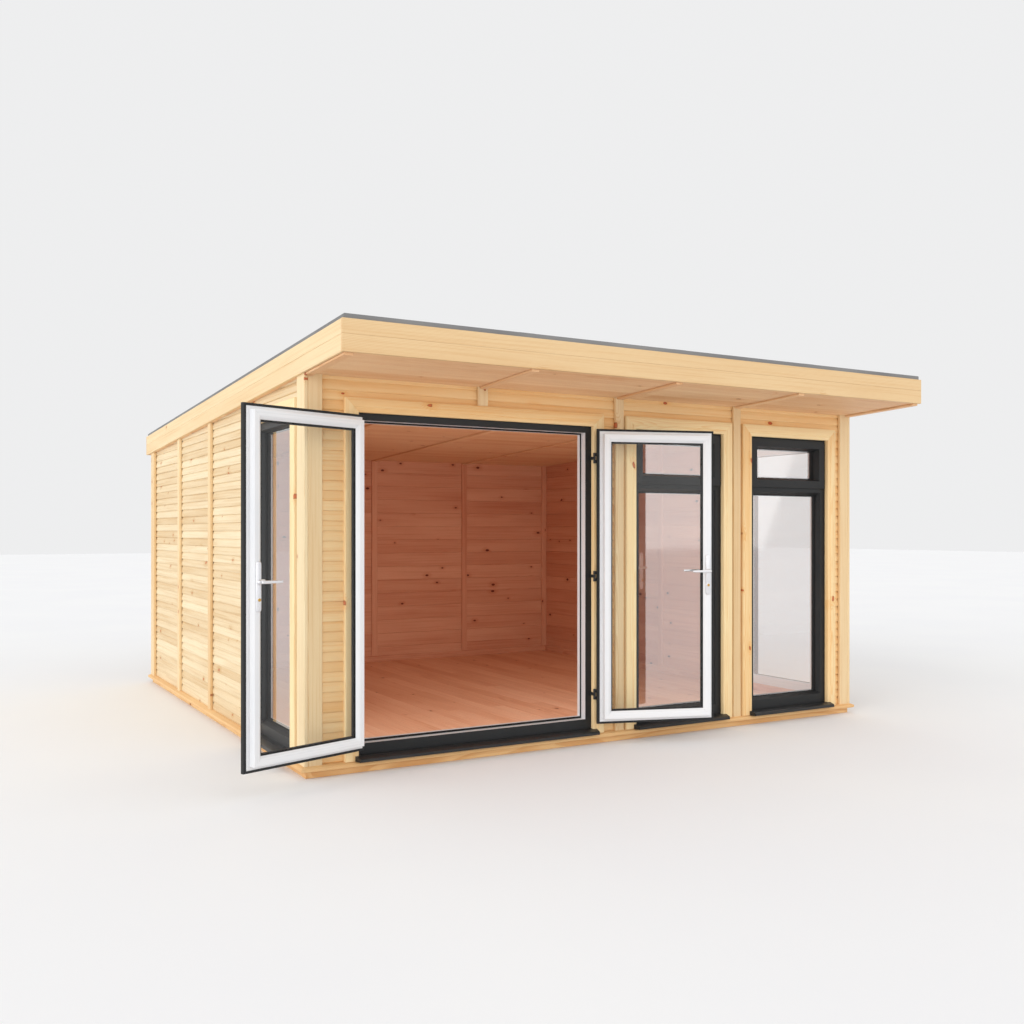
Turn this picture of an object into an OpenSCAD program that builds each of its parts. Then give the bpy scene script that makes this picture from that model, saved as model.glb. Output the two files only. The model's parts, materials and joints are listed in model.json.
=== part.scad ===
// Garden office pod: a square timber room of four wall panels a side, under one roof
// slope that falls to the back and runs out over the front as a porch. French doors
// take the two left-hand panels of the front, and tall fixed windows take the others.
//
// Origin: on the ground, in the middle of the four walls. +X right, +Y to the back.
// Millimetres.

/* [Building] */
// Width over the corner boards
wall_w = 4340; // [3600:10:5400]
// Depth over the corner boards
wall_d = 4340; // [3600:10:5400]
// Height of the roof covering at the front edge
front_h = 2500; // [2080:10:3000]
// Fall of the roof, in mm for each 100 mm of depth
roof_fall = 3.91; // [1:0.01:6]
// Plain wall between each outer corner and the first panel joint
corner_run = 110; // [105:1:140]

/* [Base] */
// Height of the floor bearers
bearer_h = 40; // [30:1:80]
// Width of a floor bearer
bearer_w = 60; // [40:1:90]
// How far the outer bearers stand back from the corner boards
bearer_setback = 13; // [0:1:30]
// Number of bearers between the front and the back one
inner_bearers = 9; // [5:1:15]
// Thickness of the wall plate that forms the drip edge
plate_t = 30; // [24:1:45]
// How far the drip edge stands out from the corner boards
drip_out = 22; // [10:1:40]
// Thickness of the floor
floor_t = 22; // [18:1:28]

/* [Walls] */
// Thickness of the wall panels, cladding and lining included
wall_t = 88; // [80:1:140]
// Thickness of corner boards and outside battens
trim_t = 22; // [18:1:28]
// Width of a front or back corner board, next to the side board's edge
corner_face_w = 85; // [60:1:100]
// Width of a side corner board
corner_side_w = 134; // [90:1:150]
// Width of the battens over the panel joints
batten_w = 68; // [40:1:90]
// Width of the battens inside the room
inner_batten_w = 60; // [40:1:80]
// Thickness of the battens inside the room
inner_batten_t = 15; // [10:1:22]
// Height of the skirting
skirting_h = 56; // [40:1:90]
// Thickness of the skirting
skirting_t = 14; // [10:1:20]

/* [Roof] */
// How far the front fascia stands out from the front corner boards
front_overhang = 635; // [300:5:900]
// How far the back fascia stands out from the back corner boards
back_overhang = 139; // [60:1:300]
// Thickness of the roof from soffit to deck, the same as the fascia's height
roof_t = 170; // [120:1:240]
// Thickness of the soffit and ceiling boards
ceiling_t = 16; // [12:1:22]
// Thickness of the front and back fascias
fascia_t = 20; // [16:1:30]
// Thickness of the side fascias
side_fascia_t = 16; // [12:1:24]
// Thickness of the deck edge and roof covering
cover_t = 28; // [15:1:40]
// How far the roof covering stops short of the fascia faces
cover_inset = 12; // [5:1:30]
// Width of the battens under the soffit and ceiling
ceiling_batten_w = 50; // [40:1:80]
// Thickness of the battens under the soffit and ceiling
ceiling_batten_t = 14; // [10:1:20]

/* [Frames] */
// Wall between the outer panel joints and the door frame, each side
door_inset = 210; // [200:1:240]
// Wall between the panel joints and a window frame, each side
window_inset = 130; // [128:1:150]
// From the soffit at the front wall down to the top of the frames
head_drop = 198; // [190:1:230]
// From the panels' outer face back to the frames' outer face
frame_setback = 6; // [0:1:10]
// Width of the door frame's jambs and head, seen from outside
jamb_w = 46; // [40:1:60]
// Height of the door frame's bottom rail
threshold_h = 62; // [40:1:80]
// Width of a window's jambs and head
window_rail_w = 60; // [50:1:80]
// Height of a window's bottom rail
window_foot_h = 82; // [60:1:100]
// Height of a front window's crossrail
crossrail_h = 94; // [80:1:150]
// Height of the frame opening for a top light
top_light_h = 265; // [200:1:350]
// From a front window frame's outer edge to the top light's sash
sash_margin = 16; // [12:1:30]
// How far a top light's sash comes in from the frame opening
sash_in = 24; // [15:1:40]
// How far a top light's sash stands out from the frame
sash_out = 15; // [10:1:25]
// Thickness of a glass unit
glass_t = 24; // [20:1:28]
// From a window frame's outer face back to the glass
glass_depth = 45; // [20:1:45]
// Width of the timber surround
surround_w = 84; // [60:1:88]
// Thickness of the timber surround
surround_t = 30; // [27:1:40]
// How far the surround laps onto a frame
surround_lap = 4; // [2:1:8]
// Height of the sills
sill_h = 30; // [24:1:40]
// How far the sills stand out from the corner boards
sill_out = 60; // [30:1:80]
// How far a sill's nose runs past the frame, each end
sill_horn = 20; // [5:1:30]

/* [Doors] */
// Angle at which both doors stand open
door_open = 162; // [0:1:165]
// Gap between the doors when they are shut
door_gap = 6; // [5:1:10]
// From the frame's outer edge to a door's hinge edge
hinge_margin = 16; // [14:1:18]
// Overlap of a door on the bottom rail and on the head
door_lap = 20; // [10:1:25]
// Thickness of a door's outer part, which laps onto the frame
flange_t = 26; // [20:1:30]
// Thickness of a door's inner part, which goes inside the frame
body_t = 44; // [36:1:50]
// Width of a door's stiles and rails
stile_w = 85; // [75:1:100]
// Height of a hinge
hinge_h = 68; // [50:1:100]
// From a door's top or bottom to the middle of the nearest hinge
hinge_end = 187; // [120:1:300]
// Radius of a hinge knuckle
knuckle_r = 8; // [6:1:9]
// Height of the lever handles over the frame's foot
lever_z = 1029; // [850:1:1100]
// Length of a lever handle
lever_len = 132; // [100:1:150]

/* [Hidden] */

joint_gap = 0.5;   // hair gap at every butt joint between two pieces of one kind
lay_gap = 0.2;     // hair gap under the roof covering and under the ceiling
panels = 4;        // wall panels in each side
big = 9000;        // larger than the building

// plan
front_pitch = (wall_w - 2 * corner_run) / panels;
side_pitch = (wall_d - 2 * corner_run) / panels;
half_w = wall_w / 2;
half_d = wall_d / 2;
core_out = trim_t;                    // outer face of the panels, behind the corner boards
core_in = trim_t + wall_t;            // inner face of the panels
room_w = wall_w - 2 * core_in;
room_d = wall_d - 2 * core_in;

// heights
slope = roof_fall / 100;
plate_top = bearer_h + plate_t;
floor_top = bearer_h + floor_t;
soffit_z = front_h - cover_t - roof_t - slope * (front_overhang - cover_inset);
frame_foot = plate_top + sill_h;
frame_top = soffit_z - head_drop;

// openings, along each wall
frame_face = core_out + frame_setback;
frame_d = wall_t - frame_setback;     // frames end flush with the lining
surround_front = core_out - surround_t;
door_x = -front_pitch;
door_w = 2 * front_pitch - 2 * door_inset;
front_window_w = front_pitch - 2 * window_inset;
side_window_w = side_pitch - 2 * window_inset;
front_window_x = [front_pitch / 2, 1.5 * front_pitch];
left_window_x = 1.5 * side_pitch;     // measured to the right, seen from outside
right_window_x = -1.5 * side_pitch;

// doors, from the middle of the door frame
clearance = 5;
door_edge = door_w / 2 - hinge_margin;
door_foot = frame_foot + threshold_h - door_lap;
door_top = frame_top - jamb_w + door_lap;
flange_back = frame_face - clearance;
door_face = flange_back - flange_t;
door_back = flange_back + body_t;
body_inset = door_edge - (door_w / 2 - jamb_w) + clearance;
body_foot_inset = door_lap + clearance;
pin_out = 8;                          // from a door's hinge edge out to the pin
pin_gap = 4;                          // from the surround's face to the knuckles
pivot_x = door_edge + pin_out;
pivot_y = surround_front - knuckle_r - pin_gap;
hinge_z = [door_foot + hinge_end, (door_foot + door_top) / 2, door_top - hinge_end];
knuckle_gap = 1;
knuckle_h = (hinge_h - 2 * knuckle_gap) / 3;
strap_t = 4;                          // strap of the middle knuckle
flag_w = 10;                          // flags of the outer knuckles
leaf_plate_w = 26;
leaf_plate_t = 4;
leaf_plate_in = 4;                    // from a door's hinge edge to the plate

// locks and levers
lock_w = 30;
lock_h = 262;
lock_t = 8;
lock_in = 24;                         // from the edge of a door's inner part to the lock
lock_x = door_gap / 2 + body_inset + lock_in;
lock_drop = 155;                      // from the lever down to the foot of the lock plate
cylinder_drop = 92;                   // from the lever down to the key cylinder
cylinder_r = 8.5;
cylinder_l = 8;
cylinder_out = 6;                     // how far the cylinder stands out from the plate
lever_h = frame_foot + lever_z;
lever_r = 9;
lever_reach = 44;                     // from the lock plate to the lever's far face
grip_t = 12;

pine = [0.93, 0.80, 0.58];
shade_pine = [0.80, 0.60, 0.42];
base_pine = [0.86, 0.68, 0.45];
anthracite = [0.17, 0.18, 0.19];
white = [0.92, 0.92, 0.93];

// ---- shapes used in several sub-parts ----

// a box given by its lowest and highest corners
module block(low, high) {
  translate(low) cube(high - low);
}

// height of the soffit and ceiling over the point y
function ceiling_z(y) = soffit_z - slope * (y + half_d);

// a slab that follows the roof slope: x and y spans, and heights over the ceiling line
module sloped_slab(x0, x1, y0, y1, rise0, rise1) {
  translate([x1, 0, 0]) rotate([90, 0, -90]) linear_extrude(x1 - x0)
    polygon([
      [-y0, ceiling_z(y0) + rise0], [-y1, ceiling_z(y1) + rise0],
      [-y1, ceiling_z(y1) + rise1], [-y0, ceiling_z(y0) + rise1]
    ]);
}

// keeps what lies under the soffit and ceiling
module under_roof() {
  intersection() {
    children();
    sloped_slab(-big, big, -big, big, -big, -lay_gap);
  }
}

// each wall's own frame: x to the right seen from outside, y inward from the corner boards
module on_front() { translate([0, -half_d, 0]) children(); }
module on_back() { translate([0, half_d, 0]) rotate([0, 0, 180]) children(); }
module on_left() { translate([-half_w, 0, 0]) rotate([0, 0, -90]) children(); }
module on_right() { translate([half_w, 0, 0]) rotate([0, 0, 90]) children(); }

// four bars round a rectangle on plan: half sizes outside, bar widths, and z span
module plan_ring(hx, hy, bar, z0, z1) {
  for (s = [-1, 1]) {
    translate([0, s * (hy - bar / 2), (z0 + z1) / 2]) cube([2 * hx, bar, z1 - z0], true);
    translate([s * (hx - bar / 2), 0, (z0 + z1) / 2])
      cube([bar, 2 * (hy - bar) - 2 * joint_gap, z1 - z0], true);
  }
}

// two posts and the rails between them: half width, bar widths, depth span
module upright_frame(half, z0, z1, post, foot, head, y0, y1) {
  for (s = [-1, 1]) translate([s * (half - post / 2), (y0 + y1) / 2, (z0 + z1) / 2])
    cube([post, y1 - y0, z1 - z0], true);
  inner = half - post - joint_gap;
  block([-inner, y0, z0], [inner, y1, z0 + foot]);
  block([-inner, y0, z1 - head], [inner, y1, z1]);
}

// four bars round a rectangle: left, right, bottom and top edges, bar width, depth span
module ring(x0, x1, z0, z1, sides, foot, head, y0, y1) {
  block([x0, y0, z0], [x0 + sides, y1, z1]);
  block([x1 - sides, y0, z0], [x1, y1, z1]);
  block([x0 + sides, y0, z0], [x1 - sides, y1, z0 + foot]);
  block([x0 + sides, y0, z1 - head], [x1 - sides, y1, z1]);
}

// ---- base ----

module floor_bearers() color(base_pine) {
  hx = half_w - bearer_setback;
  hy = half_d - bearer_setback;
  plan_ring(hx, hy, bearer_w, 0, bearer_h);
  run = 2 * (hx - bearer_w - joint_gap);
  pitch = 2 * (hy - bearer_w / 2) / (inner_bearers + 1);
  for (i = [1:inner_bearers])
    translate([0, -hy + bearer_w / 2 + i * pitch, bearer_h / 2])
      cube([run, bearer_w, bearer_h], true);
}

module wall_plate() color(base_pine)
  plan_ring(half_w + drip_out, half_d + drip_out, drip_out + core_in, bearer_h, plate_top);

module floor() color(shade_pine)
  block([-room_w / 2, -room_d / 2, bearer_h], [room_w / 2, room_d / 2, floor_top]);

// ---- walls ----

// full-height pieces of a wall's panels, left and right ends given in pairs
module wall_pieces(spans) {
  for (s = spans) block([s[0], core_out, plate_top], [s[1], core_in, big / 2]);
}

module front_wall() color(pine) {
  end = half_w - core_out;
  half_door = door_w / 2;
  half_win = front_window_w / 2;
  edges = [
    -end, door_x - half_door, door_x + half_door, front_window_x[0] - half_win,
    front_window_x[0] + half_win, front_window_x[1] - half_win,
    front_window_x[1] + half_win, end
  ];
  on_front() for (i = [0:2:6])
    block([edges[i], core_out, plate_top], [edges[i + 1], core_in, frame_top]);
}

module front_header() color(pine) under_roof() on_front()
  block([-half_w + core_out, core_out, frame_top], [half_w - core_out, core_in, big / 2]);

module left_wall() color(pine) under_roof() on_left() {
  end = half_d - core_in;
  half_win = side_window_w / 2;
  wall_pieces([[-end, left_window_x - half_win], [left_window_x + half_win, end]]);
}

module right_wall() color(pine) under_roof() on_right() {
  end = half_d - core_in;
  half_win = side_window_w / 2;
  wall_pieces([[-end, right_window_x - half_win], [right_window_x + half_win, end]]);
}

// the panel over a side window
module side_header(x) {
  half_win = side_window_w / 2;
  block([x - half_win, core_out, frame_top], [x + half_win, core_in, big / 2]);
}

module left_header() color(pine) under_roof() on_left() side_header(left_window_x);
module right_header() color(pine) under_roof() on_right() side_header(right_window_x);

module back_wall() color(pine) under_roof() on_back()
  wall_pieces([[-half_w + core_out, half_w - core_out]]);

// ---- outside trim ----

module corner_boards() color(pine) under_roof()
  for (mx = [0, 1], my = [0, 1]) mirror([mx, 0, 0]) mirror([0, my, 0]) {
    block([-half_w, -half_d, plate_top], [-half_w + trim_t, -half_d + corner_side_w, big / 2]);
    block(
      [-half_w + trim_t + joint_gap, -half_d, plate_top],
      [-half_w + trim_t + corner_face_w, -half_d + trim_t, big / 2]
    );
  }

// one batten over a panel joint
module batten(x, foot) {
  block([x - batten_w / 2, 0, foot], [x + batten_w / 2, trim_t, big / 2]);
}

module front_battens() color(pine) under_roof() on_front() {
  batten(door_x, frame_top + surround_w - surround_lap);
  batten(0, plate_top);
  batten(front_pitch, plate_top);
}

module back_battens() color(pine) under_roof() on_back()
  for (i = [-1:1]) batten(i * front_pitch, plate_top);

module side_battens() color(pine) under_roof() for (i = [-1:1]) {
  on_left() batten(i * side_pitch, plate_top);
  on_right() batten(i * side_pitch, plate_top);
}

// ---- inside trim ----

// one batten on the lining, over the skirting
module inner_batten(x) {
  block(
    [x - inner_batten_w / 2, core_in, floor_top + skirting_h + joint_gap],
    [x + inner_batten_w / 2, core_in + inner_batten_t, big / 2]
  );
}

module inner_battens() color(shade_pine) under_roof() {
  corner = inner_batten_w / 2;
  on_front() for (x = [0, front_pitch]) inner_batten(x);
  for (x = [-room_w / 2 + corner, room_w / 2 - corner]) {
    on_front() inner_batten(x);
    on_back() inner_batten(x);
  }
  on_back() for (i = [-1:1]) inner_batten(i * front_pitch);
  for (i = [-1:1]) {
    on_left() inner_batten(i * side_pitch);
    on_right() inner_batten(i * side_pitch);
  }
}

module skirting() color(shade_pine) {
  side_end = room_d / 2 - skirting_t - joint_gap;
  top = floor_top + skirting_h;
  on_front() {
    block([-room_w / 2, core_in, floor_top], [door_x - door_w / 2, core_in + skirting_t, top]);
    block([door_x + door_w / 2, core_in, floor_top], [room_w / 2, core_in + skirting_t, top]);
  }
  on_back()
    block([-room_w / 2, core_in, floor_top], [room_w / 2, core_in + skirting_t, top]);
  on_left() block([-side_end, core_in, floor_top], [side_end, core_in + skirting_t, top]);
  on_right() block([-side_end, core_in, floor_top], [side_end, core_in + skirting_t, top]);
}

// ---- frames, sills and surrounds ----

// a sill under a frame of width w: the nose is wider than the part between the surrounds
module sill(w) {
  body = w / 2 - surround_lap - joint_gap;
  nose = w / 2 + sill_horn;
  block([-body, surround_front - joint_gap, plate_top], [body, frame_face + frame_d, frame_foot]);
  block([-nose, -sill_out, plate_top], [nose, surround_front - joint_gap, frame_foot]);
}

// two legs and a head round a frame of width w
module surround(w) {
  inner = w / 2 - surround_lap;
  outer = inner + surround_w;
  head = frame_top - surround_lap;
  for (s = [-1, 1]) translate([s * (inner + outer) / 2, 0, 0]) block(
    [-surround_w / 2, surround_front, plate_top],
    [surround_w / 2, core_out, head - joint_gap]
  );
  block([-outer, surround_front, head], [outer, core_out, head + surround_w]);
}

module door_sill() color(anthracite) on_front() translate([door_x, 0, 0]) sill(door_w);

module door_surround() color(pine) on_front() translate([door_x, 0, 0]) surround(door_w);

module door_frame() color(anthracite) on_front() translate([door_x, 0, 0])
  upright_frame(door_w / 2, frame_foot, frame_top, jamb_w, threshold_h, jamb_w,
    frame_face, frame_face + frame_d);

// foot of the frame opening for a top light
light_foot = frame_top - window_rail_w - top_light_h;

// a fixed window frame, plain or with a crossrail under a top light
module window_frame(w, crossrail) {
  upright_frame(w / 2, frame_foot, frame_top, window_rail_w, window_foot_h, window_rail_w,
    frame_face, frame_face + frame_d);
  inner = w / 2 - window_rail_w - joint_gap;
  if (crossrail) block(
    [-inner, frame_face, light_foot - crossrail_h],
    [inner, frame_face + frame_d, light_foot]
  );
}

module left_front_window() color(anthracite) on_front()
  translate([front_window_x[0], 0, 0]) window_frame(front_window_w, true);
module right_front_window() color(anthracite) on_front()
  translate([front_window_x[1], 0, 0]) window_frame(front_window_w, true);
module left_side_window() color(anthracite) on_left()
  translate([left_window_x, 0, 0]) window_frame(side_window_w, false);
module right_side_window() color(anthracite) on_right()
  translate([right_window_x, 0, 0]) window_frame(side_window_w, false);

// sash of a top light: an outer ring that laps onto the frame, and an inner one in its opening
module sash(w) {
  half = w / 2 - window_rail_w;
  head = frame_top - window_rail_w;
  sash_lap = window_rail_w - sash_margin;
  lapped = sash_lap + sash_in;
  seat = frame_face - joint_gap;
  ring(-half - sash_lap, half + sash_lap, light_foot - sash_lap, head + sash_lap,
    lapped, lapped, lapped, frame_face - sash_out, seat);
  bar = sash_in - joint_gap;
  ring(-half + joint_gap, half - joint_gap, light_foot + joint_gap, head - joint_gap,
    bar, bar, bar, seat, frame_face + glass_depth + glass_t);
}

module top_lights() color(anthracite) on_front()
  for (x = front_window_x) translate([x, 0, 0]) sash(front_window_w);

// one sheet of glass that fills an opening: half width, foot and head
module pane(half, foot, head) {
  y0 = frame_face + glass_depth;
  block(
    [-half + joint_gap, y0, foot + joint_gap],
    [half - joint_gap, y0 + glass_t, head - joint_gap]
  );
}

// glass of one window
module panes(w, crossrail) {
  half = w / 2 - window_rail_w;
  foot = frame_foot + window_foot_h;
  head = frame_top - window_rail_w;
  if (crossrail) {
    pane(half, foot, light_foot - crossrail_h);
    pane(half - sash_in, light_foot + sash_in, head - sash_in);
  } else {
    pane(half, foot, head);
  }
}

module window_glass() color([0.75, 0.85, 0.85, 0.4]) {
  on_front() for (x = front_window_x) translate([x, 0, 0]) panes(front_window_w, true);
  on_left() translate([left_window_x, 0, 0]) panes(side_window_w, false);
  on_right() translate([right_window_x, 0, 0]) panes(side_window_w, false);
}

module window_sills() color(anthracite) {
  on_front() for (x = front_window_x) translate([x, 0, 0]) sill(front_window_w);
  on_left() translate([left_window_x, 0, 0]) sill(side_window_w);
  on_right() translate([right_window_x, 0, 0]) sill(side_window_w);
}

module window_surrounds() color(pine) {
  on_front() for (x = front_window_x) translate([x, 0, 0]) surround(front_window_w);
  on_left() translate([left_window_x, 0, 0]) surround(side_window_w);
  on_right() translate([right_window_x, 0, 0]) surround(side_window_w);
}

// ---- roof ----

roof_y0 = -half_d - front_overhang;
roof_y1 = half_d + back_overhang;
roof_x = half_w + side_fascia_t;

module ceiling_boards() color(pine)
  sloped_slab(-half_w, half_w, roof_y0 + fascia_t, roof_y1 - fascia_t, 0, ceiling_t);

module ceiling_battens() color(pine) {
  half = ceiling_batten_w / 2;
  for (i = [-1:1]) {
    x = i * front_pitch;
    sloped_slab(x - half, x + half, roof_y0 + fascia_t, -half_d, -ceiling_batten_t, -lay_gap);
    sloped_slab(x - half, x + half, -room_d / 2 + inner_batten_t + joint_gap,
      room_d / 2 - inner_batten_t - joint_gap, -ceiling_batten_t, -lay_gap);
  }
  for (x = [-half_w + half, half_w - half])
    sloped_slab(x - half, x + half, roof_y0 + fascia_t, -half_d - joint_gap,
      -ceiling_batten_t, -lay_gap);
}

module roof_panel() color(shade_pine)
  sloped_slab(-half_w, half_w, roof_y0 + fascia_t, roof_y1 - fascia_t, ceiling_t, roof_t);

module front_fascia() color(pine)
  sloped_slab(-roof_x, roof_x, roof_y0, roof_y0 + fascia_t, 0, roof_t);

module back_fascia() color(pine)
  sloped_slab(-roof_x, roof_x, roof_y1 - fascia_t, roof_y1, 0, roof_t);

module side_fascias() color(pine) for (s = [-1, 1])
  sloped_slab(s * (half_w + side_fascia_t / 2) - side_fascia_t / 2,
    s * (half_w + side_fascia_t / 2) + side_fascia_t / 2,
    roof_y0 + fascia_t, roof_y1 - fascia_t, 0, roof_t);

module roof_covering() color([0.45, 0.45, 0.46])
  sloped_slab(-roof_x + cover_inset, roof_x - cover_inset, roof_y0 + cover_inset,
    roof_y1 - cover_inset, roof_t + lay_gap, roof_t + cover_t);

// ---- doors: drawn shut as the right-hand door, then mirrored and swung open ----

module on_door(side) {
  on_front() translate([door_x, 0, 0]) mirror([side == "left" ? 1 : 0, 0, 0])
    translate([pivot_x, pivot_y, 0]) rotate([0, 0, door_open])
      translate([-pivot_x, -pivot_y, 0]) children();
}

module door_panel() {
  x0 = door_gap / 2;
  ring(x0, door_edge, door_foot, door_top, stile_w, stile_w, stile_w,
    door_face, flange_back);
  ring(x0 + body_inset, door_edge - body_inset, door_foot + body_foot_inset,
    door_top - body_foot_inset, stile_w - body_inset, stile_w - body_foot_inset,
    stile_w - body_foot_inset, flange_back, door_back);
}

module door_pane() {
  mid = (door_face + door_back) / 2;
  x0 = door_gap / 2 + stile_w + joint_gap;
  x1 = door_edge - stile_w - joint_gap;
  block(
    [x0, mid - glass_t / 2, door_foot + stile_w + joint_gap],
    [x1, mid + glass_t / 2, door_top - stile_w - joint_gap]
  );
}

// knuckles at the two ends of each hinge, and the flag that carries them on the door's face
module door_flags() {
  flag_edge = pivot_x - knuckle_r / 2;
  plate_edge = door_edge - leaf_plate_in;
  for (z = hinge_z) {
    for (s = [-1, 1]) translate([pivot_x, pivot_y, z + s * (hinge_h - knuckle_h) / 2])
      cylinder(r = knuckle_r, h = knuckle_h, center = true, $fn = 48);
    for (s = [-1, 1]) translate([0, 0, z + s * (hinge_h - knuckle_h) / 2])
      block([flag_edge - flag_w, pivot_y, -knuckle_h / 2], [flag_edge, door_face, knuckle_h / 2]);
    block(
      [plate_edge - leaf_plate_w, door_face - leaf_plate_t, z - hinge_h / 2],
      [plate_edge, door_face, z + hinge_h / 2]
    );
  }
}

// middle knuckle of each hinge, with the strap that holds it on the frame
module frame_flags() {
  for (z = hinge_z) {
    translate([pivot_x, pivot_y, z])
      cylinder(r = knuckle_r, h = knuckle_h, center = true, $fn = 48);
    block(
      [pivot_x - strap_t / 2, pivot_y, z - knuckle_h / 2],
      [pivot_x + strap_t / 2, frame_face, z + knuckle_h / 2]
    );
  }
}

module frame_hinges() color(anthracite) on_front() translate([door_x, 0, 0]) {
  frame_flags();
  mirror([1, 0, 0]) frame_flags();
}

// lock plates on both faces of the door, with the key cylinder under the lever
module lock_plates() {
  foot = lever_h - lock_drop;
  for (f = [[door_back, 1], [door_face, -1]]) {
    y0 = min(f[0], f[0] + f[1] * lock_t);
    block(
      [lock_x - lock_w / 2, y0, foot],
      [lock_x + lock_w / 2, y0 + lock_t, foot + lock_h]
    );
    mid_y = f[0] + f[1] * (lock_t + cylinder_out - cylinder_l / 2);
    translate([lock_x, mid_y, lever_h - cylinder_drop]) rotate([90, 0, 0])
      cylinder(r = cylinder_r, h = cylinder_l, center = true, $fn = 48);
  }
}

// levers on both faces; the spindle between them is inside the door
module levers() {
  for (f = [[door_back, 1], [door_face, -1]]) {
    root_y = f[0] + f[1] * (lock_t + joint_gap);
    tip_y = f[0] + f[1] * (lock_t + lever_reach);
    translate([lock_x, (root_y + tip_y) / 2, lever_h]) rotate([90, 0, 0])
      cylinder(r = lever_r, h = abs(tip_y - root_y), center = true, $fn = 48);
    y0 = min(tip_y, tip_y - f[1] * grip_t);
    block(
      [lock_x, y0, lever_h - lever_r],
      [lock_x + lever_len - lever_r, y0 + grip_t, lever_h + lever_r]
    );
  }
}

module left_door() color(white) on_door("left") door_panel();
module left_door_glass() color([0.75, 0.85, 0.85, 0.4]) on_door("left") door_pane();
module left_door_hinges() color(anthracite) on_door("left") door_flags();
module left_lock() color(white) on_door("left") lock_plates();
module left_lever() color("silver") on_door("left") levers();
module right_door() color(white) on_door("right") door_panel();
module right_door_glass() color([0.75, 0.85, 0.85, 0.4]) on_door("right") door_pane();
module right_door_hinges() color(anthracite) on_door("right") door_flags();
module right_lock() color(white) on_door("right") lock_plates();
module right_lever() color("silver") on_door("right") levers();

floor_bearers();
wall_plate();
floor();
front_wall();
front_header();
left_wall();
left_header();
right_wall();
right_header();
back_wall();
corner_boards();
front_battens();
side_battens();
back_battens();
inner_battens();
skirting();
door_frame();
door_sill();
door_surround();
left_front_window();
right_front_window();
left_side_window();
right_side_window();
top_lights();
window_glass();
window_sills();
window_surrounds();
ceiling_boards();
ceiling_battens();
roof_panel();
front_fascia();
back_fascia();
side_fascias();
roof_covering();
frame_hinges();
left_door();
left_door_glass();
left_door_hinges();
left_lock();
left_lever();
right_door();
right_door_glass();
right_door_hinges();
right_lock();
right_lever();
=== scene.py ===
import json
import math
import random

import bmesh
import bpy
from mathutils import Matrix, Vector


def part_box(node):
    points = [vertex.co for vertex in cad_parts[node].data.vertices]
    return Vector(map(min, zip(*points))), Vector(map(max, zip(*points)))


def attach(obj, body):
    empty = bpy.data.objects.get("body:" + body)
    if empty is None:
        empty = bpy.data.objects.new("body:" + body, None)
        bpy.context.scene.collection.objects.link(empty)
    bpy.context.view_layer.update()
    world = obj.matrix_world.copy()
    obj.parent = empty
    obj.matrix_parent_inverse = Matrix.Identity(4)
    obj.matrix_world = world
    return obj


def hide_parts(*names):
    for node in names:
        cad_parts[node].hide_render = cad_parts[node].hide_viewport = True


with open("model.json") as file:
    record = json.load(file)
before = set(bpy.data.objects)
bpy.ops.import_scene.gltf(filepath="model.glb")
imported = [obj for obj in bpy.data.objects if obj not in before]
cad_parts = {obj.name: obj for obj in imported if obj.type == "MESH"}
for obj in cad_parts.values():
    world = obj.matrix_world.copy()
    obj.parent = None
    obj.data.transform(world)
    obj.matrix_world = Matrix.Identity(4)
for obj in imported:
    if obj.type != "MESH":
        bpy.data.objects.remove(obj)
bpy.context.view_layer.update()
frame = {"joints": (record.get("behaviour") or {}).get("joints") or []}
chance = random.Random(718)


# ---- Floor bearers ----
# A ring of planed softwood bearers lies flat on the ground, with nine more across it.
# They are pressure treated, sawn square and screwed together from the side.

def put(tree, kind, wires, **settings):
    """Adds one shader node; a wire is a plain value or another node's output."""
    made = tree.nodes.new("ShaderNode" + kind)
    for name, value in settings.items():
        setattr(made, name, value)
    for socket, value in wires.items():
        if isinstance(value, bpy.types.NodeSocket):
            tree.links.new(value, made.inputs[socket])
        else:
            made.inputs[socket].default_value = value
    return made


def work(tree, operation, *terms):
    """The result of one sum on shader values."""
    return put(tree, "Math", dict(enumerate(terms)), operation=operation).outputs[0]


def ramp(tree, value, start, end, low=0.0, high=1.0):
    """A soft step from low to high while the value runs from start to end."""
    wires = {0: value, 1: start, 2: end, 3: low, 4: high}
    return put(tree, "MapRange", wires, interpolation_type="SMOOTHSTEP").outputs[0]


def stain(tree, share, under, over, how="MIX"):
    """One colour laid over another by the share."""
    wires = {0: share, 6: under, 7: over}
    return put(tree, "Mix", wires, data_type="RGBA", blend_type=how).outputs[2]


def speckle(tree, place, along, across, detail=2.0):
    """Noise with so many swings to the metre along the grain and across it."""
    wires = {0: place, 1: (along, across, across)}
    scaled = put(tree, "VectorMath", wires, operation="MULTIPLY").outputs[0]
    wires = {"Vector": scaled, "Scale": 1.0, "Detail": detail}
    return put(tree, "TexNoise", wires, noise_dimensions="3D").outputs[0]


def along_board(tree):
    """Where a point lies in its own board: along, across and through it."""
    return put(tree, "Attribute", {}, attribute_name="grain").outputs["Vector"]


def on_piece(tree):
    """Where a point lies on the whole piece, in metres."""
    return put(tree, "TexCoord", {}).outputs["Object"]


def paint(red, green, blue):
    """A colour card value, 0 to 255, as the shader wants it."""
    def straight(level):
        level /= 255
        return level / 12.92 if level <= 0.04045 else ((level + 0.055) / 1.055) ** 2.4
    return (straight(red), straight(green), straight(blue), 1.0)


def finish(name, colour, rough, height, relief, specular=0.5, metal=0.0):
    """Closes a material: colour and roughness may be wired, and height gives the relief."""
    tree = height.id_data
    wires = {"Strength": 1.0, "Distance": relief, "Height": height}
    bump = put(tree, "Bump", wires).outputs[0]
    wires = {"Base Color": colour, "Roughness": rough, "Normal": bump,
             "Specular IOR Level": specular, "Metallic": metal}
    surface = put(tree, "BsdfPrincipled", wires).outputs[0]
    put(tree, "OutputMaterial", {0: surface})


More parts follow.
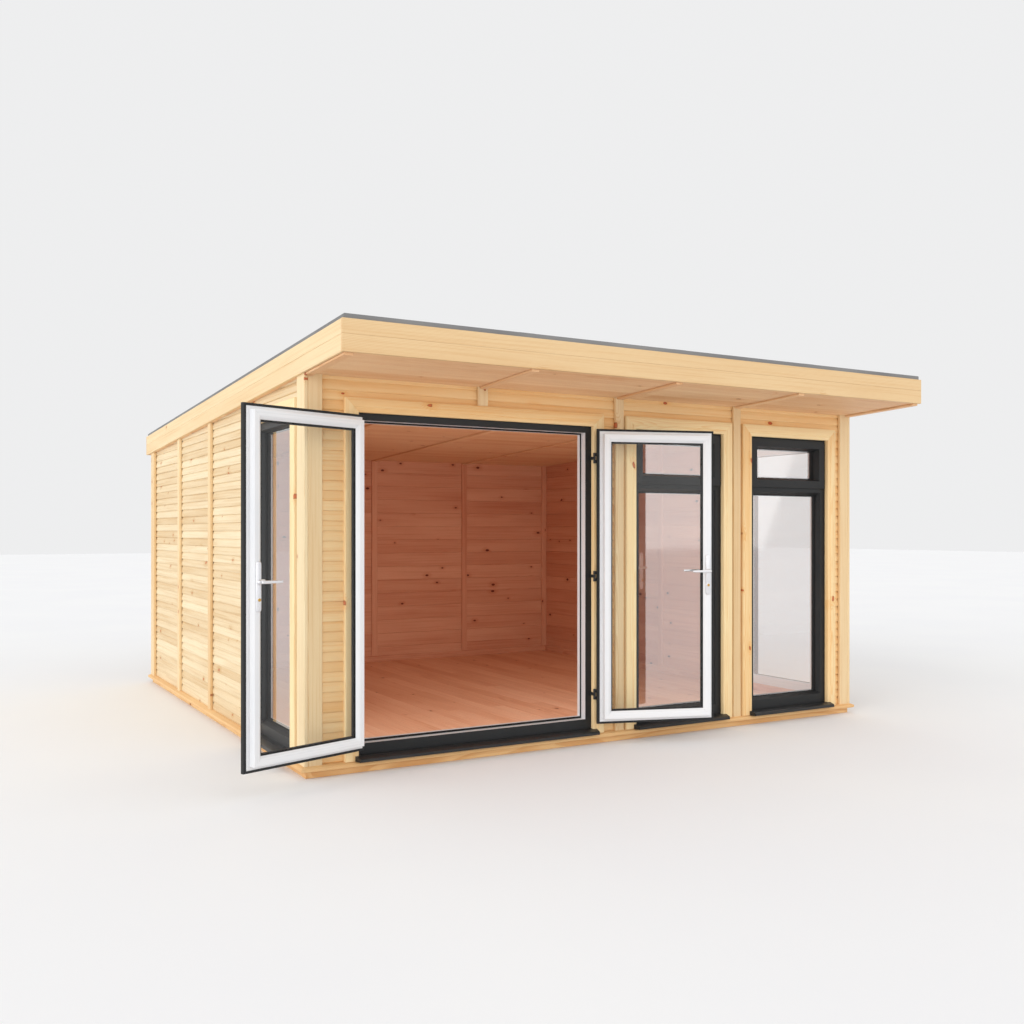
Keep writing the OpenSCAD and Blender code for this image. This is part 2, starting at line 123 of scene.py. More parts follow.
def blank(name):
    """A new material and its empty tree."""
    material = bpy.data.materials.new(name)
    material.use_nodes = True
    material.node_tree.nodes.clear()
    return material, material.node_tree


def pine(name, pale, deep, knot, knotty, contrast=0.5, rough=0.6, relief=0.0004):
    """Sawn pine: year rings round the pith, fibres, and knots with their halo."""
    ring = 0.0046           # from one year ring to the next
    knot_along, knot_across = 5.0, 9.0
    material, tree = blank(name)
    grain = along_board(tree)
    tone = put(tree, "Attribute", {}, attribute_name="tone").outputs["Fac"]
    along, across, through = put(tree, "SeparateXYZ", {0: grain}).outputs
    # knots stand in some cells of a loose pattern, longer along the grain than across it
    wires = {0: grain, 1: (knot_along, knot_across, 0.0)}
    cells = put(tree, "VectorMath", wires, operation="MULTIPLY").outputs[0]
    spots = put(tree, "TexVoronoi", {"Vector": cells, "Scale": 1.0}, voronoi_dimensions="2D")
    lot, size, _ = put(tree, "SeparateXYZ", {0: spots.outputs["Color"]}).outputs
    kept = work(tree, "LESS_THAN", lot, knotty)
    reach = work(tree, "DIVIDE", spots.outputs["Distance"], work(tree, "ADD", size, 0.45))
    # each has a hard middle, a thin bark rim and a wide halo of darker wood
    core = work(tree, "MULTIPLY", ramp(tree, reach, 0.062, 0.042), kept)
    rim = work(tree, "MULTIPLY", ramp(tree, reach, 0.085, 0.060), kept)
    halo = work(tree, "MULTIPLY", ramp(tree, reach, 0.34, 0.06), kept)
    # year rings round the pith, wandering along the board and bulging round a knot
    from_pith = work(tree, "SQRT", work(tree, "ADD", work(tree, "MULTIPLY", across, across),
                                        work(tree, "MULTIPLY", through, through)))
    wander = work(tree, "MULTIPLY", speckle(tree, grain, 0.9, 5.0, 1.0), 0.05)
    bulge = work(tree, "MULTIPLY", halo, 0.010)
    rings = work(tree, "DIVIDE", work(tree, "ADD", work(tree, "ADD", from_pith, wander), bulge),
                 ring)
    cycle = work(tree, "FRACT", rings)
    late = work(tree, "MULTIPLY", ramp(tree, cycle, 0.30, 0.85), ramp(tree, cycle, 1.0, 0.93))
    streak = speckle(tree, grain, 1.3, 80.0)
    fibre = speckle(tree, grain, 14.0, 700.0)
    drift = speckle(tree, grain, 0.7, 5.0)
    share = work(tree, "MULTIPLY", late, contrast)
    share = work(tree, "ADD", share, ramp(tree, streak, 0.45, 0.75, 0.0, 0.30))
    share = work(tree, "ADD", share, ramp(tree, drift, 0.35, 0.75, -0.08, 0.22))
    share = work(tree, "ADD", share, work(tree, "MULTIPLY", tone, 0.38))
    share = work(tree, "ADD", share, work(tree, "MULTIPLY", halo, 0.35))
    wood = stain(tree, work(tree, "MINIMUM", share, 1.0), pale, deep)
    wood = stain(tree, ramp(tree, fibre, 0.3, 0.8, 0.0, 0.10), wood, deep, "MULTIPLY")
    dark = tuple(0.62 * part for part in knot[:3]) + (1.0,)
    wood = stain(tree, rim, wood, dark)
    wood = stain(tree, core, wood, knot)
    gloss = ramp(tree, work(tree, "ADD", late, fibre), 0.2, 1.6, rough + 0.06, rough - 0.08)
    height = work(tree, "ADD", work(tree, "MULTIPLY", late, 0.45),
                  work(tree, "MULTIPLY", fibre, 0.5))
    height = work(tree, "SUBTRACT", height, work(tree, "MULTIPLY", rim, 0.6))
    finish(name, wood, gloss, height, relief, specular=0.3)
    return material


def bench():
    """An empty mesh whose points also hold their place in the grain and their board's tone."""
    bm = bmesh.new()
    bm.verts.layers.float_vector.new("grain")
    bm.verts.layers.float.new("tone")
    return bm


def prism(bm, place, start, end, section, skins=None):
    """One stick of stuff between two like outlines; section gives each point across and through."""
    grain = bm.verts.layers.float_vector["grain"]
    toned = bm.verts.layers.float["tone"]
    wide = max(p for p, q in section) - min(p for p, q in section)
    deep = max(q for p, q in section) - min(q for p, q in section)
    turned = deep > wide
    length = (end[0] - start[0]).length
    pith = (chance.uniform(0, 40), chance.uniform(-0.08, 0.08), chance.uniform(0.03, 0.12))
    tone = chance.random()
    ends = []
    for points, step in ((start, 0.0), (end, length)):
        loop = []
        for point, (p, q) in zip(points, section):
            vert = bm.verts.new(place @ point)
            across, through = (q, p) if turned else (p, q)
            vert[grain] = (step + pith[0], across + pith[1], through + pith[2])
            vert[toned] = tone
            loop.append(vert)
        ends.append(loop)
    first, last = ends
    count = len(section)
    faces = [bm.faces.new(first), bm.faces.new(last)]
    for i in range(count):
        j = (i + 1) % count
        side = bm.faces.new((first[i], first[j], last[j], last[i]))
        side.material_index = skins[i] if skins else 0
        faces.append(side)
    return faces


def plank(bm, place, run, outline, start, end, cuts=(), skins=None):
    """A board along x, y or z of its place, with its outline on the other two axes."""
    order = {"x": lambda s, p, q: (s, p, q), "y": lambda s, p, q: (p, s, q),
             "z": lambda s, p, q: (p, q, s)}[run]
    near = [Vector(order(start, p, q)) for p, q in outline]
    far = [Vector(order(end, p, q)) for p, q in outline]
    faces = prism(bm, place, near, far, outline, skins)
    for point, normal in cuts:
        # each part once, always in the same order
        shape = dict.fromkeys(part for face in faces
                              for part in (face, *face.edges, *face.verts))
        cut = bmesh.ops.bisect_plane(bm, geom=list(shape), plane_co=point, plane_no=normal,
                                     clear_outer=True)
        edges = [part for part in cut["geom_cut"] if isinstance(part, bmesh.types.BMEdge)]
        lid = bmesh.ops.edgenet_fill(bm, edges=edges)["faces"]
        kept = [part for part in cut["geom"] if isinstance(part, bmesh.types.BMFace)]
        faces = [face for face in kept if face.is_valid] + lid
        if not faces:
            break


def bar(p0, p1, q0, q1, arris=0.002):
    """A rectangle with its four corners taken off."""
    a = arris
    return [(p0 + a, q0), (p1 - a, q0), (p1, q0 + a), (p1, q1 - a),
            (p1 - a, q1), (p0 + a, q1), (p0, q1 - a), (p0, q0 + a)]


def fit(bm, name, finishes, slot, *stands_for, body="root", sharp=35):
    """Makes the piece from its mesh, finishes it and hangs it on its body."""
    bmesh.ops.recalc_face_normals(bm, faces=bm.faces)
    mesh = bpy.data.meshes.new(name)
    bm.to_mesh(mesh)
    bm.free()
    mesh.shade_smooth()
    mesh.set_sharp_from_angle(angle=math.radians(sharp))
    for material in finishes:
        mesh.materials.append(material)
    piece = bpy.data.objects.new(name, mesh)
    bpy.context.scene.collection.objects.link(piece)
    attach(piece, body)
    if stands_for:
        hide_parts(*stands_for)
    return piece


here = Matrix.Identity(4)
hair = 0.0005             # hair gap between two pieces that meet
base_pine = pine("base_pine", paint(243, 206, 150), paint(214, 156, 94), paint(176, 96, 50),
                 0.06, contrast=0.45)
low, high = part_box("floor_bearers")
bearer_w = 0.060
inner_bearers = 9
bearers = bench()
for side in (-1, 1):
    edge = side * (high.y - bearer_w / 2)
    outline = bar(edge - bearer_w / 2, edge + bearer_w / 2, low.z, high.z)
    plank(bearers, here, "x", outline, low.x, high.x)
    plank(bearers, here, "y", outline, low.y + bearer_w + hair, high.y - bearer_w - hair)
gap = (high.y - low.y - bearer_w) / (inner_bearers + 1)
for i in range(1, inner_bearers + 1):
    y = low.y + bearer_w / 2 + i * gap
    outline = bar(y - bearer_w / 2, y + bearer_w / 2, low.z, high.z)
    plank(bearers, here, "x", outline, low.x + bearer_w + hair, high.x - bearer_w - hair)
fit(bearers, "bearers", [base_pine], "base_timber", "floor_bearers")


# ---- Wall plate ----
# The walls stand on a planed plate that runs out past them as a drip edge, mitred at the
# corners. Its nose slopes off at the top, has a rounded lip, and a groove under it.

def framed(bm, place, low, high, outline, head=1.0, foot=1.0, gap=0.0003, skins=None):
    """Four mitred sticks round a rectangle; an outline point is (in from the edge, depth).
    With no foot there are two legs, cut square below, and a head."""
    (x0, z0), (x1, z1) = low, high

    def corner(right, top, inward, depth):
        x = x1 - inward if right else x0 + inward
        z = z1 - inward * head if top else z0 + inward * (foot or 0)
        return Vector((x, depth, z))

    runs = [((0, 0), (0, 1)), ((0, 1), (1, 1)), ((1, 1), (1, 0)), ((1, 0), (0, 0))]
    for a, b in runs if foot is not None else runs[:3]:
        start = [corner(*a, u, v) for u, v in outline]
        end = [corner(*b, u, v) for u, v in outline]
        play = (end[0] - start[0]).normalized() * gap / 2
        start = [point + play for point in start]
        end = [point - play for point in end]
        prism(bm, place, start, end, outline, skins)


low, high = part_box("wall_plate")
plate_top = high.z
half_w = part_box("corner_boards")[1].x
half_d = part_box("corner_boards")[1].y
core_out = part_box("front_wall")[0].y + half_d
core_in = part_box("front_wall")[1].y + half_d
drip = high.x - half_w
thick = high.z - low.z
lip = 0.008               # radius of the rounded lip
# drawn lying down: depth is the height, and the rectangle is the plan
nose = [(0.0, low.z + lip)]
nose += [(lip - lip * math.cos(a), high.z - 0.006 - lip + lip * math.sin(a))
         for a in (0.0, 0.52, 1.05, 1.57)]
nose += [(drip, high.z), (drip + core_in, high.z), (drip + core_in, low.z)]
nose += [(0.016, low.z), (0.015, low.z + 0.003), (0.011, low.z + 0.003), (0.010, low.z)]
nose += [(lip - lip * math.cos(a), low.z + lip - lip * math.sin(a))
         for a in (1.57, 1.05, 0.52)]
lying = Matrix(((1, 0, 0, 0), (0, 0, 1, 0), (0, 1, 0, 0), (0, 0, 0, 1)))
plate = bench()
framed(plate, lying, (low.x, low.y), (high.x, high.y), nose)
fit(plate, "plate", [base_pine], "base_timber", "wall_plate")


# ---- Floor ----
# Tongued pine boards run from front to back, with a small V at each joint.
# They are nailed to the bearers and have a thin satin oil.

floor_pine = pine("floor_pine", paint(249, 205, 173), paint(216, 152, 111), paint(140, 66, 36),
                  0.06, contrast=0.40, rough=0.42, relief=0.0003)
low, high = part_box("floor")
floor_top = high.z
board_cover = 0.118
vee = 0.0022
boards = bench()
count = math.ceil((high.x - low.x) / board_cover)
for i in range(count):
    x0 = low.x + i * board_cover
    x1 = min(x0 + board_cover - 0.0004, high.x)
    outline = [(x0, low.z), (x1, low.z), (x1, high.z - vee), (x1 - vee, high.z),
               (x0 + vee, high.z), (x0, high.z - vee)]
    # butt joints are staggered from one board to the next
    butt = low.y + (0.28 + 0.22 * (i % 3)) * (high.y - low.y)
    plank(boards, here, "y", outline, low.y, butt - 0.0002)
    plank(boards, here, "y", outline, butt + 0.0002, high.y)
fit(boards, "floor_boards", [floor_pine], "floor_boards", "floor")


# ---- Walls ----
# Each wall is four insulated panels side by side: lapped pine boards outside, each proud at
# its lower edge, and tongued pine lining inside. Doors and windows are cut through.

wall_pine = pine("wall_pine", paint(244, 228, 194), paint(209, 174, 124), paint(206, 120, 74),
                 0.09, contrast=0.44)
# the front wall's outside boards get a warmer, more orange copy of the wall pine: painted warm
# bounce light under the porch roof
porch_painted_bounce_pine = pine("porch_painted_bounce_pine", paint(252, 222, 170), paint(238, 184, 116), paint(200, 98, 56),
                  0.09, contrast=0.40)
inside_pine = pine("inside_pine", paint(232, 178, 144), paint(200, 129, 95), paint(110, 50, 30),
                   0.14, contrast=0.34, rough=0.55)
core_board = pine("core_board", paint(226, 190, 140), paint(200, 150, 96), paint(150, 90, 50),
                  0.05)

half_turn = math.pi
walls = {
    "front": Matrix.Translation((0, -half_d, 0)),
    "back": Matrix.Translation((0, half_d, 0)) @ Matrix.Rotation(half_turn, 4, "Z"),
    "left": Matrix.Translation((-half_w, 0, 0)) @ Matrix.Rotation(-half_turn / 2, 4, "Z"),
    "right": Matrix.Translation((half_w, 0, 0)) @ Matrix.Rotation(half_turn / 2, 4, "Z"),
}
fascia_low, fascia_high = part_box("front_fascia")
back_low, back_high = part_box("back_fascia")
fall = (fascia_low.z - back_low.z) / (back_high.y - fascia_high.y)


def ceiling_at(y):
    """Height of the soffit and ceiling over a point front to back."""
    return fascia_low.z + fall * (fascia_high.y - y)


lay_gap = 0.0002          # hair gap under the ceiling
under_ceiling = (Vector((0, 0, ceiling_at(0) - lay_gap)), Vector((0, fall, 1)).normalized())


def beside_holes(x0, x1, z0, z1, holes):
    """What is left of one course, beside, under and over the holes in a wall."""
    for left, right, foot, head in holes:
        if right <= x0 or left >= x1 or head <= z0 or foot >= z1:
            continue
        parts = []
        if left > x0:
            parts += beside_holes(x0, left, z0, z1, holes)
        if right < x1:
            parts += beside_holes(right, x1, z0, z1, holes)
        a, b = max(x0, left), min(x1, right)
        if z1 > head:
            parts += beside_holes(a, b, head, z1, holes)
        if z0 < foot:
            parts += beside_holes(a, b, z0, foot, holes)
        return parts
    return [(x0, x1, z0, z1)]


def course(bm, wall, outline, x0, x1, z0, z1, holes):
    """One row of boards, cut round the holes and off under the ceiling."""
    for a, b, low_cut, high_cut in beside_holes(x0, x1, z0, z1, holes):
        cuts = []
        if low_cut > z0:
            cuts.append((Vector((0, 0, low_cut)), Vector((0, 0, -1))))
        if high_cut < z1:
            cuts.append((Vector((0, 0, high_cut)), Vector((0, 0, 1))))
        lowest = min((wall @ Vector((x, core_out, 0))).y * -fall for x in (a, b))
        if z1 > ceiling_at(0) + lowest - 0.01:
            cuts.append(under_ceiling)
        raised = [(depth, z0 + rise) for depth, rise in outline]
        plank(bm, wall, "x", raised, a, b, cuts)


cover = 0.0575            # face of one outside board
crest = core_out          # depth of a board's proud lower edge
set_back = 0.009          # how far its upper edge lies behind that
sheath = 0.040            # depth of the boards' backs
lapped = [(sheath, 0.0), (crest + 0.0050, 0.0), (crest + 0.0016, 0.0012), (crest, 0.0045)]
lapped += [(crest + set_back * t ** 2.4, 0.012 + (cover - 0.012) * t)
           for t in (0.0, 0.3, 0.55, 0.8, 1.0)]
lapped += [(sheath, cover)]
lining_cover = 0.137
lining_t = 0.012
lining = [(core_in - lining_t, 0.0), (core_in - lining_t, lining_cover - 0.0004),
          (core_in - 0.003, lining_cover - 0.0004), (core_in, lining_cover - 0.0034),
          (core_in, 0.003), (core_in - 0.003, 0.0)]


def clad(name, side, ends, room_end, joints, holes, *nodes):
    """One whole wall: outside boards from joint to joint, the core, and the lining."""
    wall = walls[side]
    bm = bench()
    top = ceiling_at(-half_d)
    columns = [-ends, *joints, ends]
    for x0, x1 in zip(columns, columns[1:]):
        for i in range(math.ceil((top - plate_top) / cover)):
            z0 = plate_top + i * cover
            reach = max(ceiling_at((wall @ Vector((x, core_out, 0))).y) for x in (x0, x1))
            if z0 < reach - 0.002:
                course(bm, wall, lapped, x0, x1, z0, z0 + cover, holes)
    inner = [-room_end, *joints, room_end]
    for x0, x1 in zip(inner, inner[1:]):
        for i in range(math.ceil((top - plate_top) / lining_cover)):
            z0 = plate_top + i * lining_cover
            reach = max(ceiling_at((wall @ Vector((x, core_in, 0))).y) for x in (x0, x1))
            if z0 < reach - 0.002:
                course(bm, wall, lining, x0, x1, z0, z0 + lining_cover, holes)
    for face in bm.faces:
        depth = (wall.inverted() @ face.calc_center_median()).y
        face.material_index = 1 if depth > sheath + 0.001 else 0
    for a, b, foot, head in beside_holes(-ends, ends, plate_top, top + 0.05, holes):
        before = len(bm.faces)
        outline = bar(sheath + hair, core_in - lining_t - hair, foot, head, 0.0001)
        plank(bm, wall, "x", outline, a, b, [under_ceiling])
        bm.faces.ensure_lookup_table()
        for face in bm.faces[before:]:
            face.material_index = 2
    # the front wall wears the warmer pine copy, with its painted bounce light under the porch
    outer = porch_painted_bounce_pine if side == "front" else wall_pine
    fit(bm, name, [outer, inside_pine, core_board], "pine_walls", *nodes)


def hole(side, *nodes):
    """The opening that a frame fills, seen from outside its own wall."""
    spans = []
    for node in nodes:
        corners = [walls[side].inverted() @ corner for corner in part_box(node)]
        xs = sorted(corner.x for corner in corners)
        zs = sorted(corner.z for corner in corners)
        spans.append((xs[0], xs[1], plate_top, zs[1]))
    return spans


panels = 4
panel_w = 1.03            # from one panel joint to the next
batten_w = 0.068
first_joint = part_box("front_battens")[0].x + batten_w / 2
panel_joints = [first_joint + i * panel_w for i in range(panels - 1)]
front_holes = hole("front", "door_frame", "left_front_window", "right_front_window")
clad("front_cladding", "front", half_w - core_out, half_w - core_in, panel_joints, front_holes,
     "front_wall", "front_header")
clad("back_cladding", "back", half_w - core_out, half_w - core_in, panel_joints, [],
     "back_wall")
clad("left_cladding", "left", half_d - core_in, half_d - core_in, panel_joints,
     hole("left", "left_side_window"), "left_wall", "left_header")
clad("right_cladding", "right", half_d - core_in, half_d - core_in, panel_joints,
     hole("right", "right_side_window"), "right_wall", "right_header")


# ---- Corner boards ----
# Two planed boards lap round each corner: a wide one on the side wall and a narrower one
# butted to it on the front or back. Their outer edges are eased.

edge_pine = pine("edge_pine", paint(244, 223, 182), paint(222, 184, 132), paint(196, 108, 66),
                 0.07, contrast=0.40)
side_board_w = 0.134
face_board_w = 0.085
uncut_top = 2.4           # uprights run up to here before the cut under the ceiling
corners = bench()
for sx in (-1, 1):
    for sy in (-1, 1):
        a, b = sorted((sx * half_w, sx * (half_w - core_out)))
        c, d = sorted((sy * half_d, sy * (half_d - side_board_w)))
        plank(corners, here, "z", bar(a, b, c, d, 0.003), plate_top, uncut_top,
              [under_ceiling])
        a, b = sorted((sx * (half_w - core_out - hair),
                       sx * (half_w - core_out - face_board_w)))
        c, d = sorted((sy * half_d, sy * (half_d - core_out)))
        plank(corners, here, "z", bar(a, b, c, d, 0.003), plate_top, uncut_top,
              [under_ceiling])
fit(corners, "corner_trim", [edge_pine], "pine_trim", "corner_boards")


# ---- Battens outside ----
# A planed batten covers each joint between two wall panels, nailed over the board ends.
# The one over the doors is short, because it stands on the door surround.

surround_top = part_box("door_surround")[1].z


def upright(bm, wall, middle, width, v0, v1, foot):
    """One upright batten on a wall, cut off under the ceiling."""
    outline = bar(middle - width / 2, middle + width / 2, v0, v1, 0.003)
    plank(bm, wall, "z", outline, foot, uncut_top, [under_ceiling])


# the solid that each wall's strips stand for; one solid holds both sides' battens
batten_nodes = {"front": ["front_battens"], "back": ["back_battens"],
                "left": ["side_battens"], "right": []}
for side, nodes in batten_nodes.items():
    strips = bench()
    for i, x in enumerate(panel_joints):
        over_doors = side == "front" and i == 0
        upright(strips, walls[side], x, batten_w, 0.0, core_out,
                surround_top if over_doors else plate_top)
    fit(strips, side + "_strips", [edge_pine], "pine_trim", *nodes)


# ---- Trim inside ----
# Thinner battens cover the panel joints and the corners of the lining, and a planed
# skirting runs round the floor, with its top edge rounded.

inner_w = 0.060
inner_t = 0.015
skirting_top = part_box("skirting")[1].z
skirting_t = 0.014
inside = bench()
corner_x = half_w - core_in - inner_w / 2
for side, places in (("front", [-corner_x, *panel_joints[1:], corner_x]),
                     ("back", [-corner_x, *panel_joints, corner_x]),
                     ("left", panel_joints), ("right", panel_joints)):
    for x in places:
        upright(inside, walls[side], x, inner_w, core_in, core_in + inner_t,
                skirting_top + hair)
fit(inside, "inside_strips", [inside_pine], "inside_pine", "inner_battens")

room = half_w - core_in
door_hole = front_holes[0]
back = core_in
front = core_in + skirting_t
board = [(back, floor_top), (front, floor_top), (front, skirting_top - 0.008),
         (front - 0.002, skirting_top - 0.003), (front - 0.006, skirting_top),
         (back, skirting_top)]
skirts = bench()
plank(skirts, walls["front"], "x", board, -room, door_hole[0])
plank(skirts, walls["front"], "x", board, door_hole[1], room)
plank(skirts, walls["back"], "x", board, -room, room)
for side in ("left", "right"):
    plank(skirts, walls[side], "x", board, -room + skirting_t + hair,
          room - skirting_t - hair)
fit(skirts, "skirting_boards", [inside_pine], "inside_pine", "skirting")


# ---- Ceiling and soffit ----
# Tongued pine boards run from side to side under the whole roof, out to the fascias, with
# a V at each joint. Battens cover their ends and the lines over the panel joints.

roof_pine = pine("roof_pine", paint(246, 212, 170), paint(222, 167, 118), paint(170, 86, 50),
                 0.08, contrast=0.36)
low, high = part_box("ceiling_boards")
ceiling_t = 0.016
ceiling_cover = 0.112
tilt = math.atan(fall)
sloped = Matrix.Translation((0, low.y, ceiling_at(low.y))) @ Matrix.Rotation(-tilt, 4, "X")
reach = (high.y - low.y) / math.cos(tilt)
rise = ceiling_t * math.cos(tilt)
ends = [(Vector((0, low.y, 0)), Vector((0, -1, 0))), (Vector((0, high.y, 0)), Vector((0, 1, 0)))]
soffit = bench()
count = math.ceil(reach / ceiling_cover)
for i in range(count):
    s0 = i * ceiling_cover
    s1 = min(s0 + ceiling_cover - 0.0004, reach)
    outline = [(s0, rise), (s1, rise), (s1, vee), (s1 - vee, 0), (s0 + vee, 0), (s0, vee)]
    cuts = ends[:1] if i == 0 else ends[1:] if i == count - 1 else []
    butt = chance.choice((-0.95, 0.15, 1.1))
    plank(soffit, sloped, "x", outline, low.x, butt - 0.0002, cuts)
    plank(soffit, sloped, "x", outline, butt + 0.0002, high.x, cuts)
fit(soffit, "soffit_boards", [roof_pine], "roof_pine", "ceiling_boards")

strip_w = 0.050
strip_t = 0.014
strips = bench()
front_run = (0.0, (-half_d - low.y) / math.cos(tilt))
room_run = tuple((y - low.y) / math.cos(tilt) for y in
                 (-room + inner_t + hair, room - inner_t - hair))
for x in (*panel_joints, -half_w + strip_w / 2, half_w - strip_w / 2):
    outline = bar(x - strip_w / 2, x + strip_w / 2, -strip_t * math.cos(tilt), -lay_gap, 0.003)
    for s0, s1 in (front_run, room_run) if x in panel_joints else (front_run,):
        cuts = [ends[0], (Vector((0, -half_d - hair, 0)), Vector((0, 1, 0)))]
        plank(strips, sloped, "y", outline, s0, s1, cuts if s0 == 0.0 else [])
fit(strips, "ceiling_strips", [roof_pine], "roof_pine", "ceiling_battens")


# ---- Roof panel ----
# Over the boards lie rafters from front to back with a boarded deck on them.
# It is all closed in by the fascias.

low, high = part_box("roof_panel")
roof_t = fascia_high.z - fascia_low.z - fall * (fascia_high.y - fascia_low.y)
deck_t = 0.018
rafter_w = 0.045
deck_play = 0.006         # the rafters' play behind the fascias
deck = bench()
base = rise + hair
top = (roof_t - 0.001) * math.cos(tilt)
rafters = 9
for i in range(rafters):
    x = low.x + rafter_w / 2 + i * (high.x - low.x - rafter_w) / (rafters - 1)
    outline = bar(x - rafter_w / 2, x + rafter_w / 2, base, top - deck_t - hair)
    plank(deck, sloped, "y", outline, deck_play, reach - 2 * deck_play)
deck_cover = 0.200
for i in range(math.ceil(reach / deck_cover)):
    s0 = i * deck_cover
    s1 = min(s0 + deck_cover - 0.001, reach)
    plank(deck, sloped, "x", bar(s0, s1, top - deck_t, top, 0.001), low.x, high.x,
          ends if i == 0 or s1 == reach else [])
fit(deck, "roof_frame", [core_board], "roof_pine", "roof_panel")


# ---- Fascias ----
# Planed boards close the roof's four edges, each made of two boards glued edge to edge.
# The front and back ones cover the ends of the side ones.

# the front and back fascias get a darker copy of the side fascias' pine: painted shade
fascia_painted_shade_pine = pine("fascia_painted_shade_pine", paint(230, 200, 154), paint(210, 164, 110), paint(190, 96, 56),
                   0.07, contrast=0.42)


def fascia(bm, place, run, p0, p1, start, end, level):
    """One fascia of two boards edge to edge; level gives the soffit's height at its foot."""
    seam = 0.54 * roof_t
    for q0, q1 in ((0.0, seam - 0.0003), (seam + 0.0003, roof_t)):
        plank(bm, place, run, bar(p0, p1, level + q0, level + q1, 0.001), start, end)


skew = Matrix.Identity(4)
skew[2][1] = -fall
level = ceiling_at(0)
# the front and back fascias wear the darker pine copy, with its painted shade
for name, (low, high) in (("front", (fascia_low, fascia_high)), ("back", (back_low, back_high))):
    edge = bench()
    fascia(edge, skew, "x", low.y, high.y, low.x, high.x, level)
    fit(edge, name + "_edge", [fascia_painted_shade_pine], "pine_trim", name + "_fascia")
low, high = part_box("side_fascias")
edge = bench()
for side in (-1, 1):
    x0, x1 = sorted((side * half_w, side * high.x))
    fascia(edge, skew, "y", x0, x1, low.y, high.y, level)
fit(edge, "side_edges", [edge_pine], "pine_trim", "side_fascias")


# ---- Roof covering ----
# A grey rubber sheet is glued on in lengths that run down the slope, with welded laps.
# It folds over the deck edge, just inside the fascias.

def sheet_rubber():
    """Matt grey sheet with a fine pebble and faint dust in large patches."""
    material, tree = blank("roof_rubber")
    place = on_piece(tree)
    pebble = speckle(tree, place, 420.0, 420.0)
    dust = speckle(tree, place, 1.5, 1.5, 4.0)
    share = ramp(tree, dust, 0.3, 0.75, 0.0, 0.8)
    colour = stain(tree, share, paint(122, 122, 123), paint(142, 142, 141))
    finish("roof_rubber", colour, ramp(tree, pebble, 0.2, 0.8, 0.78, 0.92), pebble, 0.0004,
           specular=0.3)
    return material


roof_rubber = sheet_rubber()
low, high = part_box("roof_covering")
cover_t = high.z - fascia_high.z + fall * (low.y - fascia_low.y)
lap_t = 0.0016
widths = 4
width = (high.x - low.x) / widths
half_lap = 0.05
sheet = bench()
level = ceiling_at(0) + roof_t
plank(sheet, skew, "y", bar(low.x, high.x, level + lay_gap, level + cover_t - lap_t, 0.003),
      low.y, high.y)
for i in range(1, widths):
    x = low.x + i * width
    outline = [(x - half_lap, level + cover_t - lap_t), (x + half_lap, level + cover_t - lap_t),
               (x + half_lap - 0.001, level + cover_t), (x - half_lap, level + cover_t)]
    plank(sheet, skew, "y", outline, low.y + 0.004, high.y - 0.004)
fit(sheet, "roof_sheet", [roof_rubber], "roof_sheet", "roof_covering")


# ---- Door frame ----
# A welded plastic frame stands in the doorway: dark foil outside, white inside the rebate,
# with a black seal on the stop that the doors close on. Its bottom rail is higher.

def foil():
    """Dark foil with a fine embossed grain along each bar."""
    material, tree = blank("dark_foil")
    grain = along_board(tree)
    emboss = speckle(tree, grain, 30.0, 900.0)
    drift = speckle(tree, grain, 1.5, 6.0)
    colour = stain(tree, ramp(tree, drift, 0.3, 0.7), paint(34, 35, 36), paint(40, 41, 42))
    finish("dark_foil", colour, ramp(tree, emboss, 0.25, 0.75, 0.42, 0.56), emboss, 0.00012,
           specular=0.28)
    return material


def plastic():
    """White plastic, satin, with the faint flow lines of a drawn bar."""
    material, tree = blank("white_plastic")
    grain = along_board(tree)
    flow = speckle(tree, grain, 0.6, 120.0)
    soft = speckle(tree, grain, 2.0, 8.0)
    colour = stain(tree, ramp(tree, soft, 0.3, 0.7), paint(226, 227, 229), paint(230, 230, 231))
    finish("white_plastic", colour, ramp(tree, flow, 0.2, 0.8, 0.24, 0.32), flow, 0.00004)
    return material


def seal():
    """Soft black rubber of the glazing and door seals."""
    material, tree = blank("black_seal")
    grain = along_board(tree)
    skin = speckle(tree, grain, 60.0, 260.0)
    colour = stain(tree, skin, paint(20, 20, 21), paint(30, 30, 31))
    finish("black_seal", colour, ramp(tree, skin, 0.2, 0.8, 0.55, 0.7), skin, 0.0001,
           specular=0.3)
    return material


bar_finishes = [foil(), plastic(), seal()]
FOIL, WHITE, SEAL = 0, 1, 2


def faced(section):
    """An outline whose points also say the finish of the face that starts there."""
    return {"outline": [(p, q) for p, q, skin in section],
            "skins": [skin for p, q, skin in section]}


face = core_out + 0.006   # depth of every frame's outer face
jamb = 0.046
low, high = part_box("door_frame")
door_x = (low.x + high.x) / 2
frame_foot, frame_top = low.z, high.z
threshold = 0.062
section = [(0.0, face, FOIL), (0.044, face, FOIL), (jamb, face + 0.002, WHITE),
           (jamb, 0.078, SEAL), (0.050, 0.0775, SEAL), (0.0525, 0.0760, SEAL),
           (0.055, 0.0775, SEAL), (0.056, 0.080, WHITE), (0.056, core_in - 0.002, WHITE),
           (0.054, core_in, WHITE), (0.0, core_in, WHITE)]
casing = bench()
framed(casing, walls["front"], (low.x, low.z), (high.x, high.z), gap=0.0001,
       foot=threshold / jamb, **faced(section))
fit(casing, "door_casing", bar_finishes, "frame_plastic", "door_frame")


# ---- Sills ----
# Each frame stands on a dark sill whose nose slopes out past the wall plate, with horns
# that run past the frame, and a drip groove under the front edge.

